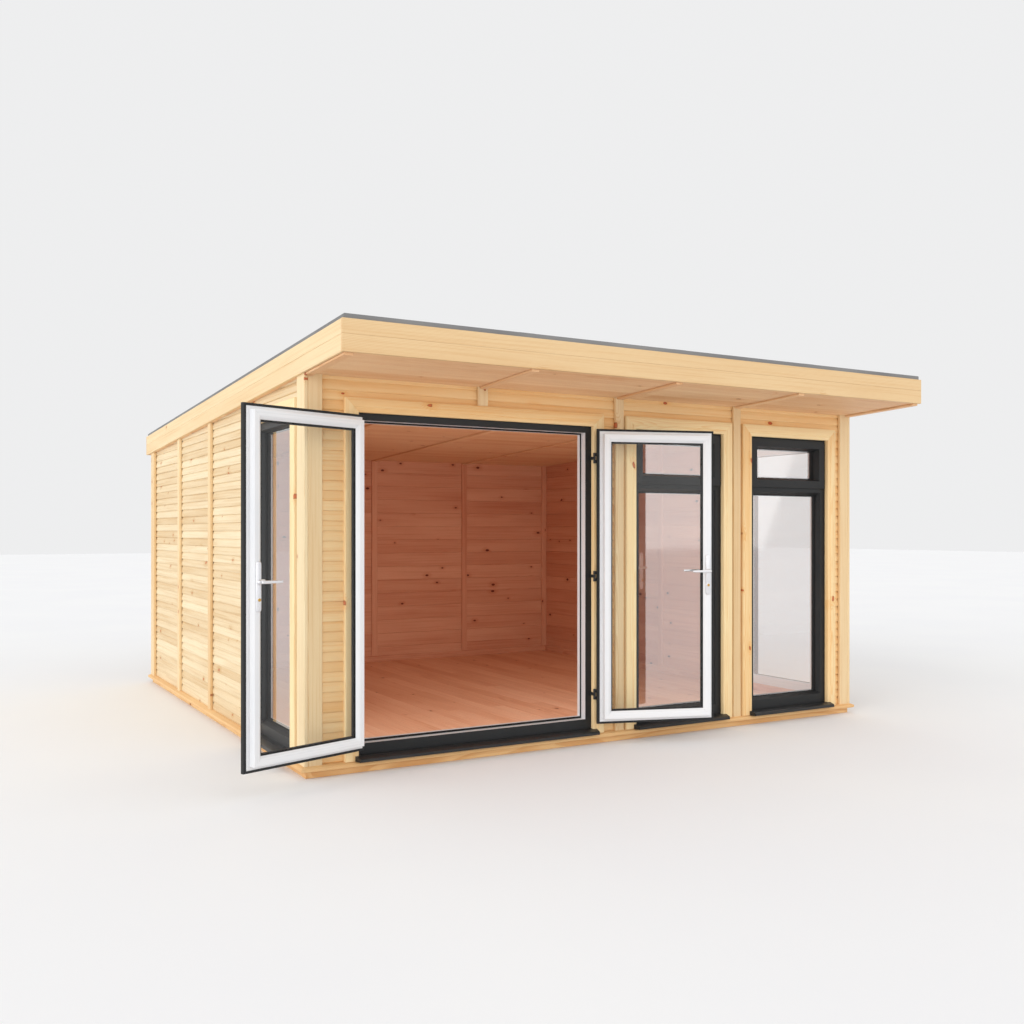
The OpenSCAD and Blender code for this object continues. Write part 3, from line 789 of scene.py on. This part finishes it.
def dark_sill():
    """Dark plastic, a little glossier than the foil, with fine dust on it."""
    material, tree = blank("dark_sill")
    place = on_piece(tree)
    dust = speckle(tree, place, 6.0, 6.0, 4.0)
    fine = speckle(tree, place, 300.0, 300.0)
    colour = stain(tree, ramp(tree, dust, 0.45, 0.8, 0.0, 0.5), paint(36, 37, 38),
                   paint(52, 52, 52))
    finish("dark_sill", colour, ramp(tree, dust, 0.3, 0.8, 0.34, 0.52), fine, 0.00008,
           specular=0.4)
    return material


sill_finish = dark_sill()
sill_nose = 0.060
horn = 0.020
horn_slant = 0.012        # how far a horn's end slants in towards the nose
surround_front = core_out - 0.030
lap = 0.004


def sill(bm, wall, x0, x1):
    """One sill under the frame from x0 to x1: the part between the surrounds, and the nose."""
    foot, top = plate_top + 0.0002, frame_foot - 0.0003
    body = [(surround_front, foot), (surround_front, top), (core_in, top), (core_in, foot)]
    plank(bm, wall, "x", body, x0 + lap + hair, x1 - lap - hair)
    back = surround_front - hair
    lead = [(back, foot), (back, top), (-sill_nose + 0.010, top - 0.008),
            (-sill_nose + 0.004, top - 0.010), (-sill_nose, top - 0.014),
            (-sill_nose, foot + 0.002), (-sill_nose + 0.002, foot), (-0.045, foot),
            (-0.044, foot + 0.003), (-0.040, foot + 0.003), (-0.039, foot)]

    def slanted(end, way):
        share = horn_slant / (sill_nose + back)
        return [Vector((end + way * (back - q) * -share, q, r)) for q, r in lead]

    prism(bm, wall, slanted(x0 - horn, -1), slanted(x1 + horn, 1), lead)


door_ledge = bench()
sill(door_ledge, walls["front"], low.x, high.x)
fit(door_ledge, "door_ledge", [sill_finish], "sill_plastic", "door_sill")
window_spans = [("front", span) for span in front_holes[1:]]
window_spans += [(side, hole(side, side + "_side_window")[0]) for side in ("left", "right")]
ledges = bench()
for side, (x0, x1, _, _) in window_spans:
    sill(ledges, walls[side], x0, x1)
fit(ledges, "window_ledges", [sill_finish], "sill_plastic", "window_sills")


# ---- Timber surrounds ----
# A moulded pine architrave goes round each frame and laps onto it: eased outer edge, flat,
# then a sunk line and an inner bead. Mitred at the head, it stands on the wall plate.

trim_pine = pine("trim_pine", paint(251, 230, 182), paint(238, 190, 126), paint(208, 116, 68),
                 0.06, contrast=0.36)
surround_w = 0.084
mould = [(0.0, core_out), (0.0, surround_front + 0.006), (0.002, surround_front + 0.002),
         (0.006, surround_front), (0.052, surround_front), (0.054, surround_front + 0.003),
         (0.058, surround_front + 0.003), (0.060, surround_front + 0.0005),
         (0.078, surround_front + 0.0005), (0.082, surround_front + 0.002),
         (surround_w, surround_front + 0.005), (surround_w, core_out)]


def surround(bm, wall, x0, x1):
    """Two legs and a head round the frame from x0 to x1."""
    out = surround_w - lap
    framed(bm, wall, (x0 - out, plate_top), (x1 + out, frame_top + out), mould, foot=None,
           gap=hair)


architrave = bench()
surround(architrave, walls["front"], low.x, high.x)
fit(architrave, "door_architrave", [trim_pine], "pine_trim", "door_surround")
architraves = bench()
for side, (x0, x1, _, _) in window_spans:
    surround(architraves, walls[side], x0, x1)
fit(architraves, "window_architraves", [trim_pine], "pine_trim", "window_surrounds")


# ---- Window frames ----
# Welded frames of the same plastic, fixed, with a bevel down to a black seal at the glass
# and a white bead inside. The front ones have a crossrail under the top light.

rail = 0.060
foot_rail = 0.082
glass_depth = face + 0.045
glass_t = 0.024


def glazed(edge, front, depth_of_bevel):
    """The part of a bar's outline next to the glass, from the bevel round to the inside."""
    g0, g1 = glass_depth, glass_depth + glass_t
    return [(edge - 0.012, front + 0.0005, FOIL), (edge - 0.001, front + depth_of_bevel, FOIL),
            (edge, front + depth_of_bevel + 0.002, FOIL), (edge, g0 - 0.0045, SEAL),
            (edge + 0.0045, g0 - 0.0035, SEAL), (edge + 0.005, g0 - 0.0005, SEAL),
            (edge + 0.0003, g0 - 0.0004, SEAL), (edge + 0.0003, g1 + 0.0002, SEAL),
            (edge + 0.006, g1 + 0.0004, WHITE), (edge + 0.006, g1 + 0.007, WHITE),
            (edge + 0.002, core_in, WHITE)]


fixed = [(0.0, face, FOIL), (rail - 0.014, face, FOIL), *glazed(rail, face, 0.028),
         (0.0, core_in, WHITE)]
plain = [(0.0, face, FOIL), (rail, face, WHITE), (rail, core_in, WHITE), (0.0, core_in, WHITE)]
sash_low, sash_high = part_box("top_lights")
sash_margin = frame_top - sash_high.z
light_foot = sash_low.z + rail - sash_margin
crossrail = 0.094
for side, (x0, x1, _, _) in window_spans:
    at_front = side == "front"
    if at_front:
        name = ("left" if x0 < half_w / 2 else "right") + "_front"
    else:
        name = side + "_side"
    window = bench()
    if at_front:
        framed(window, walls[side], (x0, frame_foot), (x1, light_foot), gap=0.0001,
               head=crossrail / rail, foot=foot_rail / rail, **faced(fixed))
        framed(window, walls[side], (x0, light_foot), (x1, frame_top), gap=0.0001,
               foot=None, **faced(plain))
    else:
        framed(window, walls[side], (x0, frame_foot), (x1, frame_top), gap=0.0001,
               foot=foot_rail / rail, **faced(fixed))
    fit(window, name + "_casing", bar_finishes, "frame_plastic", name + "_window")


# ---- Top lights ----
# A sash of the same plastic laps onto the frame outside and stands a little proud of it.
# It is bevelled to the glass like the frame.

sash_in = 0.024
sash_face = sash_low.y + half_d
edge = rail - sash_margin + sash_in
seat = face - hair
leaf = [(0.0, seat, FOIL), (0.0, sash_face + 0.002, FOIL), (0.002, sash_face, FOIL),
        (edge - 0.014, sash_face, FOIL), *glazed(edge, sash_face, 0.030),
        (edge - sash_in + hair, core_in, WHITE), (edge - sash_in + hair, seat, WHITE)]
sashes = bench()
for side, (x0, x1, _, _) in window_spans[:2]:
    framed(sashes, walls[side], (x0 + sash_margin, sash_low.z),
           (x1 - sash_margin, frame_top - sash_margin), gap=0.0001, **faced(leaf))
fit(sashes, "top_light_sashes", bar_finishes, "frame_plastic", "top_lights")


# ---- Window glass ----
# Sealed double units: one clear slab for each, with a dark spacer bar just inside its edge
# that shows past the seals. Their outer faces have a coating that mirrors much more.

def clear_glass(name, least, rise, tint):
    """Clear glass that mirrors more the flatter it is seen, on the face towards the eye."""
    material, tree = blank(name)
    place = on_piece(tree)
    smear = speckle(tree, place, 3.0, 3.0, 3.0)
    facing = put(tree, "LayerWeight", {"Blend": 0.5}).outputs["Facing"]
    share = work(tree, "MULTIPLY_ADD", work(tree, "POWER", facing, 5.0), rise, least)
    behind = put(tree, "NewGeometry", {}).outputs["Backfacing"]
    share = work(tree, "MULTIPLY", share, work(tree, "SUBTRACT", 1.0, behind))
    rough = ramp(tree, smear, 0.3, 0.8, 0.02, 0.06)
    through = put(tree, "BsdfTransparent", {"Color": tint}).outputs[0]
    shine = put(tree, "BsdfAnisotropic", {"Color": (1.0, 1.0, 1.0, 1.0), "Roughness": rough})
    both = put(tree, "MixShader", {0: share, 1: through, 2: shine.outputs[0]}).outputs[0]
    put(tree, "OutputMaterial", {0: both})
    return material


plain_glass = clear_glass("plain_glass", 0.03, 0.6, (0.992, 0.996, 0.992, 1.0))
coated_glass = clear_glass("coated_glass", 0.33, 0.8, (0.992, 0.995, 0.992, 1.0))
GLASS, SPACER, COATED = 0, 1, 2
spacer_w = 0.009


def unit(bm, place, x0, x1, z0, z1, y0, y1):
    """One sealed unit that fills the opening, with its spacer bar."""
    slab = bar(x0 + hair, x1 - hair, z0 + hair, z1 - hair, 0.001)
    plank(bm, place, "y", slab, y0, y1)
    edge = [(0.0, y0 + 0.005, SPACER), (spacer_w, y0 + 0.005, SPACER),
            (spacer_w, y1 - 0.005, SPACER), (0.0, y1 - 0.005, SPACER)]
    framed(bm, place, (x0 + 0.002, z0 + 0.002), (x1 - 0.002, z1 - 0.002), gap=0.0001,
           **faced(edge))


panes = bench()
for side, (x0, x1, _, _) in window_spans:
    g0, g1 = glass_depth, glass_depth + glass_t
    head = light_foot - crossrail if side == "front" else frame_top - rail
    unit(panes, walls[side], x0 + rail, x1 - rail, frame_foot + foot_rail, head, g0, g1)
    if side == "front":
        inset = rail + sash_in
        unit(panes, walls[side], x0 + inset, x1 - inset, light_foot + sash_in,
             frame_top - inset, g0, g1)
panes.normal_update()
for pane in panes.faces:
    outward = pane.normal.dot(pane.calc_center_median())
    if pane.material_index == GLASS and outward > room / 2:
        pane.material_index = COATED
fit(panes, "window_units", [plain_glass, bar_finishes[SEAL], coated_glass], "clear_glass",
    "window_glass")


# ---- Doors ----
# Two welded plastic leaves open outward: dark foil outside, white inside. The outer part
# laps onto the frame all round, with a black seal under the lap and at both sides of the glass.

joints = {joint["name"]: joint for joint in frame["joints"]}
right_hinge = joints["right_leaf_hinge"]
swing = math.radians(right_hinge["range_deg"][1])
pivot = Vector((right_hinge["pos_m"][0] - door_x, right_hinge["pos_m"][1] + half_d, 0))
open_leaf = (Matrix.Translation(pivot) @ Matrix.Rotation(swing, 4, "Z")
             @ Matrix.Translation(-pivot))
at_door = Matrix.Translation((door_x, -half_d, 0))
leaves = {"right": at_door @ open_leaf,
          "left": at_door @ Matrix.Scale(-1, 4, (1, 0, 0)) @ open_leaf}
door_edges = (0.003, pivot.x - 0.008)
door_foot, door_top = (corner.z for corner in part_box("right_door"))
door_face = face - 0.005 - 0.026
door_back = face - 0.005 + 0.044
stile = 0.085
glass0 = (door_face + door_back - glass_t) / 2
glass1 = glass0 + glass_t
lip_back = face - 0.005
leaf = [(0.0, lip_back - 0.002, FOIL), (0.0, door_face + 0.002, FOIL),
        (0.002, door_face, FOIL), (0.064, door_face, FOIL), (0.0835, glass0 - 0.0065, FOIL),
        (stile, glass0 - 0.0045, SEAL), (stile + 0.0045, glass0 - 0.0035, SEAL),
        (stile + 0.005, glass0 - 0.0005, SEAL), (stile + 0.0003, glass0 - 0.0004, SEAL),
        (stile + 0.0003, glass1 + 0.0003, SEAL), (stile + 0.005, glass1 + 0.0005, SEAL),
        (stile + 0.0045, glass1 + 0.0035, SEAL), (stile, glass1 + 0.0045, WHITE),
        (0.0835, glass1 + 0.0065, WHITE), (0.068, door_back - 0.0015, WHITE),
        (0.065, door_back, WHITE), (0.0375, door_back, WHITE), (0.035, door_back - 0.0025, WHITE),
        (0.035, lip_back, WHITE), (0.0145, lip_back, SEAL), (0.0140, lip_back + 0.0025, SEAL),
        (0.0120, lip_back, FOIL), (0.002, lip_back, FOIL)]
for side, place in leaves.items():
    body = side + "_leaf"
    door = bench()
    x0, x1 = door_edges
    framed(door, place, (x0, door_foot), (x1, door_top), gap=0.0001, **faced(leaf))
    fit(door, body + "_frame", bar_finishes, "door_plastic", side + "_door", body=body)
    pane = bench()
    unit(pane, place, x0 + stile, x1 - stile, door_foot + stile, door_top - stile,
         glass0, glass1)
    fit(pane, body + "_unit", [plain_glass, bar_finishes[SEAL]], "clear_glass",
        side + "_door_glass", body=body)


# ---- Hinges ----
# Three black flag hinges a door: two knuckles and a plate ride with the leaf, and the middle
# knuckle is held to the frame by a strap. Powder-coated steel, with countersunk screws.

def coated():
    """Powder coat with a fine orange-peel skin."""
    material, tree = blank("black_coat")
    place = on_piece(tree)
    peel = speckle(tree, place, 700.0, 700.0)
    colour = stain(tree, peel, paint(34, 35, 36), paint(42, 43, 44))
    finish("black_coat", colour, ramp(tree, peel, 0.2, 0.8, 0.4, 0.55), peel, 0.00008)
    return material


def loft(bm, place, loops, skin=0):
    """A closed skin over loops of points, one after the other, with flat ends."""
    grain = bm.verts.layers.float_vector["grain"]
    rows = []
    for loop in loops:
        row = []
        for point in loop:
            vert = bm.verts.new(place @ point)
            vert[grain] = point
            row.append(vert)
        rows.append(row)
    made = [bm.faces.new(rows[0]), bm.faces.new(rows[-1])]
    for near, far in zip(rows, rows[1:]):
        count = len(near)
        for i in range(count):
            j = (i + 1) % count
            made.append(bm.faces.new((near[i], near[j], far[j], far[i])))
    for face_made in made:
        face_made.material_index = skin


def turned(bm, place, centre, axis, steps, sides=28, skin=0):
    """A turned part: steps give the radius and the distance along the axis."""
    axis = Vector(axis).normalized()
    across = axis.orthogonal().normalized()
    other = axis.cross(across)
    angles = [2 * math.pi * i / sides for i in range(sides)]
    loops = [[Vector(centre) + axis * s + radius * (across * math.cos(a) + other * math.sin(a))
              for a in angles] for radius, s in steps]
    loft(bm, place, loops, skin)


coat = coated()
hinge_h = 0.068
knuckle_r = 0.008
knuckle_h = 0.022
hinge_end = 0.187
hinge_zs = [door_foot + hinge_end, (door_foot + door_top) / 2, door_top - hinge_end]
ease = 0.0008
barrel = [(knuckle_r - ease, -knuckle_h / 2), (knuckle_r, -knuckle_h / 2 + ease),
          (knuckle_r, knuckle_h / 2 - ease), (knuckle_r - ease, knuckle_h / 2)]


def block(bm, place, x0, x1, y0, y1, z0, z1, arris=0.0006):
    """A small upright block with eased edges."""
    plank(bm, place, "z", bar(x0, x1, y0, y1, arris), z0, z1)


def screw(bm, place, centre, axis, radius=0.0035):
    """A countersunk screw head, just proud of the plate, with its dimple."""
    turned(bm, place, centre, axis, [(radius, -0.0005), (radius, 0.0002), (radius * 0.9, 0.0007),
                                     (radius * 0.42, 0.0008), (radius * 0.30, 0.0001)], 16)


for side, place in leaves.items():
    hinges = bench()
    flag_x = pivot.x - knuckle_r / 2
    plate_x = door_edges[1] - 0.004
    for z in hinge_zs:
        for way in (-1, 1):
            middle = z + way * (hinge_h - knuckle_h) / 2
            turned(hinges, place, (pivot.x, pivot.y, middle), (0, 0, 1), barrel)
            block(hinges, place, flag_x - 0.010, flag_x, pivot.y, door_face,
                  middle - knuckle_h / 2 + 0.001, middle + knuckle_h / 2 - 0.001)
            screw(hinges, place, (plate_x - 0.013, door_face - 0.004, z + way * 0.020),
                  (0, -1, 0))
        block(hinges, place, plate_x - 0.026, plate_x, door_face - 0.004, door_face,
              z - hinge_h / 2, z + hinge_h / 2, 0.0012)
    fit(hinges, side + "_leaf_hinges", [coat], "hinge_metal", side + "_door_hinges",
        body=side + "_leaf", sharp=30)

straps = bench()
for mirrored in (1, -1):
    place = at_door @ Matrix.Scale(mirrored, 4, (1, 0, 0))
    for z in hinge_zs:
        turned(straps, place, (pivot.x, pivot.y, z), (0, 0, 1), barrel)
        block(straps, place, pivot.x - 0.002, pivot.x + 0.002, pivot.y, face,
              z - knuckle_h / 2 + 0.001, z + knuckle_h / 2 - 0.001)
fit(straps, "hinge_straps", [coat], "hinge_metal", "frame_hinges", sharp=30)


# ---- Locks ----
# A long satin metal plate with round corners stands on each face of each door, held by two
# screws, with the key cylinder in a collar under the lever.

def satin(name, colour, rough):
    """Satin metal, brushed along its length."""
    material, tree = blank(name)
    grain = along_board(tree)
    brushed = speckle(tree, grain, 900.0, 60.0)
    shade = stain(tree, ramp(tree, brushed, 0.3, 0.7, 0.0, 0.25), colour,
                  tuple(0.8 * part for part in colour[:3]) + (1.0,))
    finish(name, shade, ramp(tree, brushed, 0.2, 0.8, rough - 0.05, rough + 0.07), brushed,
           0.00003, metal=0.85)
    return material


handle_finishes = [satin("satin_metal", paint(232, 232, 235), 0.30),
                   satin("key_brass", paint(206, 164, 84), 0.28), bar_finishes[SEAL]]
METAL, BRASS, DARK = 0, 1, 2
lock_x = door_edges[0] + 0.035 + 0.024
lock_w, lock_h, lock_t = 0.030, 0.262, 0.008
lever_z = joints["right_lever_turn"]["pos_m"][2]
lock_foot = lever_z - 0.155


def rounded(x0, x1, z0, z1, radius, depth, steps=6):
    """A loop round a rectangle with round corners, at one depth."""
    loop = []
    for cx, cz, turn in ((x1 - radius, z1 - radius, 0), (x0 + radius, z1 - radius, 1),
                         (x0 + radius, z0 + radius, 2), (x1 - radius, z0 + radius, 3)):
        for i in range(steps + 1):
            a = (turn + i / steps) * math.pi / 2
            loop.append(Vector((cx + radius * math.cos(a), depth, cz + radius * math.sin(a))))
    return loop


for side, place in leaves.items():
    locks = bench()
    for start, way in ((door_back, 1), (door_face, -1)):
        x0, x1 = lock_x - lock_w / 2, lock_x + lock_w / 2
        loops = []
        for inset, rise in ((0.0, 0.0), (0.0, lock_t - 0.003), (0.001, lock_t - 0.001),
                            (0.003, lock_t)):
            loops.append(rounded(x0 + inset, x1 - inset, lock_foot + inset,
                                 lock_foot + lock_h - inset, 0.0135 - inset,
                                 start + way * rise))
        loft(locks, place, loops, METAL)
        top = start + way * lock_t
        out = (0, way, 0)
        for z in (lock_foot + 0.020, lock_foot + lock_h - 0.020):
            turned(locks, place, (lock_x, top, z), out,
                   [(0.0042, -0.0005), (0.0042, 0.0004), (0.0036, 0.0010), (0.0018, 0.0011),
                    (0.0014, 0.0003)], 20, METAL)
        key = (lock_x, top, lever_z - 0.092)
        turned(locks, place, key, out, [(0.0115, -0.0005), (0.0115, 0.0010), (0.0105, 0.0018)],
               32, METAL)
        turned(locks, place, key, out, [(0.0085, 0.0010), (0.0085, 0.0052), (0.0078, 0.0060)],
               32, BRASS)
        slot = [Vector((lock_x + dx, top + way * 0.0060, key[2] + dz))
                for dx, dz in ((-0.0006, -0.004), (0.0006, -0.004), (0.0006, 0.004),
                               (-0.0006, 0.004))]
        raised = [point + Vector((0, way * 0.0001, 0)) for point in slot]
        loft(locks, place, [slot, raised], DARK)
    fit(locks, side + "_lock_plates", handle_finishes, "handle_metal", side + "_lock",
        body=side + "_leaf", sharp=40)


# ---- Levers ----
# A cast satin lever on each face, on one spindle: a round neck on a small rose, then an arm
# that points to the hinges and thins towards its rounded tip.

arm = 0.123
reach = 0.052
neck_r = 0.009
grip_t = 0.012
for side, place in leaves.items():
    levers = bench()
    for start, way in ((door_back, 1), (door_face, -1)):
        root = start + way * (lock_t + hair)
        tip = start + way * reach
        turned(levers, place, (lock_x, root, lever_z), (0, way, 0),
               [(0.0125, 0.0), (0.0125, 0.003), (0.0110, 0.0045), (neck_r, 0.006),
                (neck_r - 0.0012, 0.016), (neck_r - 0.0008, 0.028), (neck_r, 0.036),
                (neck_r - 0.0015, abs(tip - root) - 0.002),
                (neck_r - 0.005, abs(tip - root))], 32)
        loops = []
        for share, high_half, thick in ((0.0, 0.0045, 0.0035), (0.015, 0.0078, 0.0052),
                                        (0.06, 0.0088, 0.0058), (0.25, 0.0086, 0.0056),
                                        (0.55, 0.0076, 0.0048), (0.85, 0.0070, 0.0044),
                                        (0.96, 0.0066, 0.0042), (0.99, 0.0050, 0.0034),
                                        (1.0, 0.0026, 0.0020)):
            x = lock_x - 0.006 + share * (arm + 0.006)
            middle = tip - way * (grip_t / 2)
            ring = []
            for i in range(24):
                a = 2 * math.pi * i / 24
                # a squarish oval, fuller than an ellipse
                cos, sin = math.cos(a), math.sin(a)
                ring.append(Vector((x, middle + thick * math.copysign(abs(cos) ** 0.7, cos),
                                    lever_z + high_half * math.copysign(abs(sin) ** 0.7, sin))))
            loops.append(ring)
        loft(levers, place, loops)
    fit(levers, side + "_lever_arms", handle_finishes[:1], "handle_metal", side + "_lever",
        body=side + "_lever_body", sharp=50)


# ---- Studio ----
# A large pale floor under an even pale sky, with one broad soft light from the left and a
# weaker one from the front. The camera stands at eye height before the left corner.

def studio_floor():
    """Matt white floor with a very faint unevenness."""
    material, tree = blank("studio_white")
    place = on_piece(tree)
    cloud = speckle(tree, place, 0.5, 0.5, 3.0)
    colour = stain(tree, ramp(tree, cloud, 0.3, 0.7), paint(240, 240, 241), paint(242, 242, 242))
    finish("studio_white", colour, 0.9, cloud, 0.0002, specular=0.1)
    return material


floor_reach = 60.0
ground = bmesh.new()
bmesh.ops.create_grid(ground, x_segments=4, y_segments=4, size=floor_reach)
mesh = bpy.data.meshes.new("studio_floor")
ground.to_mesh(mesh)
ground.free()
mesh.materials.append(studio_floor())
stand = bpy.data.objects.new("studio_floor", mesh)
stand.location.z = -0.0005
bpy.context.scene.collection.objects.link(stand)

world = bpy.data.worlds.new("pale_sky")
bpy.context.scene.world = world
world.use_nodes = True
sky = world.node_tree.nodes["Background"]
sky.inputs["Color"].default_value = (0.855, 0.857, 0.862, 1.0)
sky.inputs["Strength"].default_value = 1.0

lamps = (("key", (-1.0, -0.30, 0.35), 1.4, 50.0, (0.98, 0.99, 1.0)),
         ("fill", (0.10, -1.0, 0.22), 0.65, 80.0, (1.0, 0.99, 0.98)))
for name, towards, strength, spread, colour in lamps:
    lamp = bpy.data.lights.new(name, "SUN")
    lamp.energy = strength
    lamp.angle = math.radians(spread)
    lamp.color = colour
    holder = bpy.data.objects.new(name, lamp)
    holder.rotation_euler = Vector(towards).to_track_quat("Z", "Y").to_euler()
    bpy.context.scene.collection.objects.link(holder)

# a soft panel of light inside, that itself doesn't show, stands for the light of the doorway
panel = bpy.data.lights.new("room_fill", "AREA")
panel.shape = "RECTANGLE"
panel.size = 3.6
panel.size_y = 1.8
panel.energy = 20.0
panel.color = (1.0, 0.99, 0.98)
holder = bpy.data.objects.new("room_fill", panel)
holder.location = (0.0, -room + 0.06, 1.15)
holder.rotation_euler = (math.radians(90), 0, 0)
holder.visible_camera = False
holder.visible_glossy = False
holder.visible_transmission = False
bpy.context.scene.collection.objects.link(holder)

lens = bpy.data.cameras.new("camera")
lens.sensor_width = 36.0
lens.lens = 36.28
lens.shift_x = 0.0076
lens.shift_y = 0.0187
lens.clip_end = 200.0
eye = bpy.data.objects.new("camera", lens)
eye.location = (-4.055, -7.741, 1.391)
eye.rotation_euler = (math.radians(90), 0, math.radians(-29.659))
bpy.context.scene.collection.objects.link(eye)
bpy.context.scene.camera = eye
bpy.context.scene.view_settings.view_transform = "Standard"
